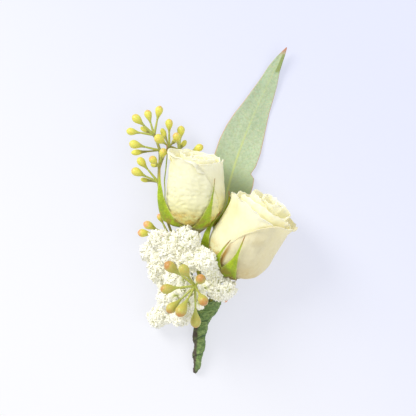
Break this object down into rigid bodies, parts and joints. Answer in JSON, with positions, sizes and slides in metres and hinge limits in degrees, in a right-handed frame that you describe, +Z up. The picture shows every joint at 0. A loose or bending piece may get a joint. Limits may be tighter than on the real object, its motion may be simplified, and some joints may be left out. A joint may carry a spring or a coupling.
{
  "type": "pin-on corsage (boutonniere)",
  "caption": "Pin-on corsage: cream spray roses before a eucalyptus leaf, with flower-bud sprigs and baby's breath, bound in green floral tape.",
  "frame": {"origin": "on the surface it lies on, below the middle of its outline", "axes": "+Z up through the flowers that face away from the wearer's coat, +Y from the taped handle towards the tip of the leaf, +X to the side of the tilted rose"},
  "size_m": [0.0708, 0.1404, 0.038],
  "materials": {
    "leaf": "satin",
    "petal": "matte",
    "sepal": "satin",
    "rose_stem": "satin",
    "bud": "satin",
    "bud_twig": "matte",
    "floret": "matte",
    "floret_twig": "matte",
    "tape": "matte",
    "wire": "satin"
  },
  "bodies": {
    "root": {"eucalyptus_leaf": "leaf", "rose_upright_petal_1": "petal", "rose_upright_petal_2": "petal", "rose_upright_petal_3": "petal", "rose_upright_petal_4": "petal", "rose_upright_petal_5": "petal", "rose_upright_heart": "petal", "rose_upright_calyx": "sepal", "rose_upright_stem": "rose_stem", "rose_tilted_petal_1": "petal", "rose_tilted_petal_2": "petal", "rose_tilted_petal_3": "petal", "rose_tilted_petal_4": "petal", "rose_tilted_petal_5": "petal", "rose_tilted_heart": "petal", "rose_tilted_calyx": "sepal", "rose_tilted_stem": "rose_stem", "upper_sprig_stem": "bud_twig", "upper_bud_1": "bud", "upper_bud_2": "bud", "upper_bud_3": "bud", "upper_bud_4": "bud", "upper_bud_5": "bud", "upper_bud_6": "bud", "upper_bud_7": "bud", "upper_bud_8": "bud", "upper_bud_9": "bud", "upper_bud_10": "bud", "upper_bud_11": "bud", "upper_bud_12": "bud", "upper_bud_13": "bud", "upper_bud_14": "bud", "side_bud_1": "bud", "side_bud_2": "bud", "side_bud_3": "bud", "front_sprig_stem": "bud_twig", "front_bud_1": "bud", "front_bud_2": "bud", "front_bud_3": "bud", "front_bud_4": "bud", "front_bud_5": "bud", "front_bud_6": "bud", "front_bud_7": "bud", "front_bud_8": "bud", "front_bud_9": "bud", "babys_breath_head_1": "floret", "babys_breath_head_2": "floret", "babys_breath_head_3": "floret", "babys_breath_head_4": "floret", "babys_breath_head_5": "floret", "babys_breath_head_6": "floret", "babys_breath_head_7": "floret", "babys_breath_head_8": "floret", "babys_breath_head_9": "floret", "babys_breath_head_10": "floret", "babys_breath_head_11": "floret", "babys_breath_head_12": "floret", "babys_breath_stems": "floret_twig", "floral_tape": "tape", "stem_wire": "wire"}
  },
  "joints": []
}
